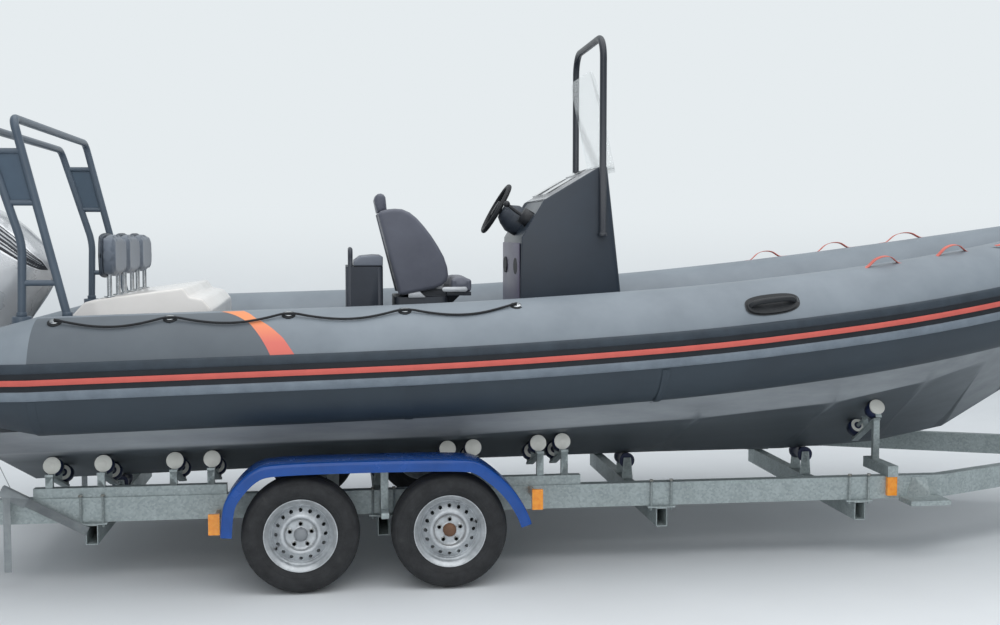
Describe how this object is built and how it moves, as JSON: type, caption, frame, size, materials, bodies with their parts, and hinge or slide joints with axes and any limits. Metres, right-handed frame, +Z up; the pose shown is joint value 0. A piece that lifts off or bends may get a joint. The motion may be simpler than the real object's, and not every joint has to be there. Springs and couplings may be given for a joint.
{
  "type": "rigid inflatable boat on tandem roller trailer",
  "caption": "Open rigid inflatable boat with console, seats, roll bar and tilted outboard, carried on a galvanised tandem trailer with hull rollers, winch and jockey wheel.",
  "frame": {"origin": "bottom centre of the whole object's box, on the ground under the tyres", "axes": "+X towards the bow and the coupling, +Y port, +Z up"},
  "size_m": [8.796, 2.526, 2.9199],
  "materials": {
    "amber_lens": "lens",
    "black_coated_tube": "satin powder coat",
    "black_moulding": "fine grain",
    "black_rope": "braided rope",
    "black_rubber": "matt",
    "blue_plastic": "glossy",
    "brushed_dash": "satin",
    "clear_screen": "clear acrylic",
    "console_coat": "satin coat",
    "coral_fabric": "coated webbing",
    "dark_coated_tube": "satin powder coat",
    "dark_moulding": "textured moulding",
    "deck_grip": "non-slip panel",
    "engine_grey": "satin",
    "engine_silver": "metallic gloss",
    "galvanised": "galvanised, weathered",
    "grey_vinyl": "grained vinyl",
    "hull_alloy": "dull mill finish",
    "red_lens": "lens",
    "rim_paint": "silver paint",
    "roller_rubber": "matt",
    "seat_vinyl": "grained vinyl",
    "stainless": "satin",
    "strake_rubber": "matt",
    "tube_fabric": "matt coated fabric",
    "tyre_rubber": "worn",
    "webbing": "woven strap, faded",
    "white_gelcoat": "glossy moulding",
    "zinc_plate": "bright zinc"
  },
  "bodies": {
    "root": {"collar": "tube_fabric", "rub_strake": "strake_rubber", "hull": "hull_alloy", "cockpit_deck": "deck_grip", "bow_locker": "white_gelcoat", "tube_handles": "coral_fabric", "grab_line_left": "black_rope", "grab_line_right": "black_rope", "grab_line_pads": "strake_rubber", "towing_eyes": "stainless", "aframe_left": "dark_coated_tube", "aframe_right": "dark_coated_tube", "aframe_top": "dark_coated_tube", "aft_bench": "white_gelcoat", "backrests": "seat_vinyl", "seat_pod": "dark_moulding", "seat_pod_cushion": "grey_vinyl", "helm_seat_base": "dark_moulding", "helm_seat_shell": "seat_vinyl", "helm_seat_cushion": "grey_vinyl", "console_body": "console_coat", "console_dash": "brushed_dash", "console_frame": "black_coated_tube", "windscreen": "clear_screen", "helm_pod": "black_moulding", "throttle": "black_moulding", "engine_bracket": "engine_grey", "chassis_rails": "galvanised", "drawbar": "galvanised", "coupling_head": "galvanised", "axle_beams": "galvanised", "mudguards": "blue_plastic", "cross_members": "galvanised", "roller_cradles": "galvanised", "hull_rollers": "roller_rubber", "front_bridge": "galvanised", "winch_post": "galvanised", "winch": "zinc_plate", "bow_stop": "black_rubber", "tail_lamps": "red_lens", "side_markers": "amber_lens", "webbing_straps": "webbing", "jockey_post": "galvanised"},
    "engine_tilt": {"engine_swivel": "engine_grey"},
    "engine": {"engine_leg": "engine_silver", "engine_cowl": "engine_silver", "gearcase": "engine_silver"},
    "propeller": {"propeller": "stainless"},
    "helm_wheel": {"steering_wheel": "black_moulding"},
    "jockey_fork": {"jockey_fork": "zinc_plate"},
    "jockey_wheel": {"jockey_wheel": "black_rubber"},
    "wheel_rear_right": {"tyre_rear_right": "tyre_rubber", "rim_rear_right": "rim_paint"},
    "wheel_rear_left": {"tyre_rear_left": "tyre_rubber", "rim_rear_left": "rim_paint"},
    "wheel_front_right": {"tyre_front_right": "tyre_rubber", "rim_front_right": "rim_paint"},
    "wheel_front_left": {"tyre_front_left": "tyre_rubber", "rim_front_left": "rim_paint"}
  },
  "joints": [
    {"name": "engine_tilt", "type": "hinge", "parent": "root", "child": "engine_tilt", "pos_m": [-3.37497, 0, 1.112], "axis": [0, 1, 0], "range_deg": [-28, 30]},
    {"name": "engine_steer", "type": "hinge", "parent": "engine_tilt", "child": "engine", "pos_m": [-3.56553, 0, 1.04117], "axis": [0.4695, 0, 0.8829], "range_deg": [-32, 32]},
    {"name": "propeller_spin", "type": "hinge", "parent": "engine", "child": "propeller", "pos_m": [-4.30587, 0, 0.6137], "axis": [0.8829, 0, -0.4695], "continuous": true},
    {"name": "helm_wheel", "type": "hinge", "parent": "root", "child": "helm_wheel", "pos_m": [-0.65097, 0, 1.935], "axis": [-0.866, 0, 0.5], "range_deg": [-640, 640]},
    {"name": "jockey_swivel", "type": "hinge", "parent": "root", "child": "jockey_fork", "pos_m": [3.79703, 0.096, 0.25], "axis": [0, 0, 1], "continuous": true},
    {"name": "jockey_roll", "type": "hinge", "parent": "jockey_fork", "child": "jockey_wheel", "pos_m": [3.75703, 0.096, 0.105], "axis": [0, 1, 0], "continuous": true},
    {"name": "roll_rear_right", "type": "hinge", "parent": "root", "child": "wheel_rear_right", "pos_m": [-1.77697, -1.1, 0.2945], "axis": [0, 1, 0], "continuous": true},
    {"name": "roll_rear_left", "type": "hinge", "parent": "root", "child": "wheel_rear_left", "pos_m": [-1.77697, 1.1, 0.2945], "axis": [0, 1, 0], "continuous": true},
    {"name": "roll_front_right", "type": "hinge", "parent": "root", "child": "wheel_front_right", "pos_m": [-1.03497, -1.1, 0.2945], "axis": [0, 1, 0], "continuous": true},
    {"name": "roll_front_left", "type": "hinge", "parent": "root", "child": "wheel_front_left", "pos_m": [-1.03497, 1.1, 0.2945], "axis": [0, 1, 0], "continuous": true}
  ],
  "couplings": [
    {"joint": "helm_wheel", "follows": "engine_steer", "ratio": -20}
  ]
}
